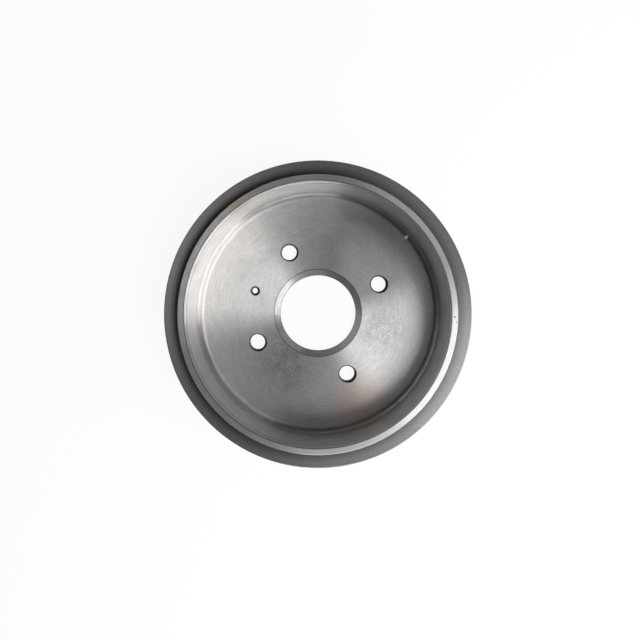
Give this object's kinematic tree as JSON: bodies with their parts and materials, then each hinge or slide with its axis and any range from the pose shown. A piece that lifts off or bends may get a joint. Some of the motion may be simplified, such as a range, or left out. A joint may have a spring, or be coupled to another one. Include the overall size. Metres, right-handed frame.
{
  "type": "brake drum",
  "caption": "Cast iron brake drum, open on one side, with a turned friction wall, a stiffening flange, a centre bore and a ring of stud holes.",
  "frame": {"origin": "centre of the wheel face, the closed side that the wheel is clamped on and that the drum lies on", "axes": "+Z along the drum's axis from the wheel face to the open side, -X towards the tapped hole, with the stud holes at 45 degrees to X and Y"},
  "size_m": [0.242, 0.242, 0.056],
  "materials": {
    "iron": "turned grey cast iron, left as cast on the outside"
  },
  "bodies": {
    "root": {"brake_drum": "iron"}
  },
  "joints": []
}
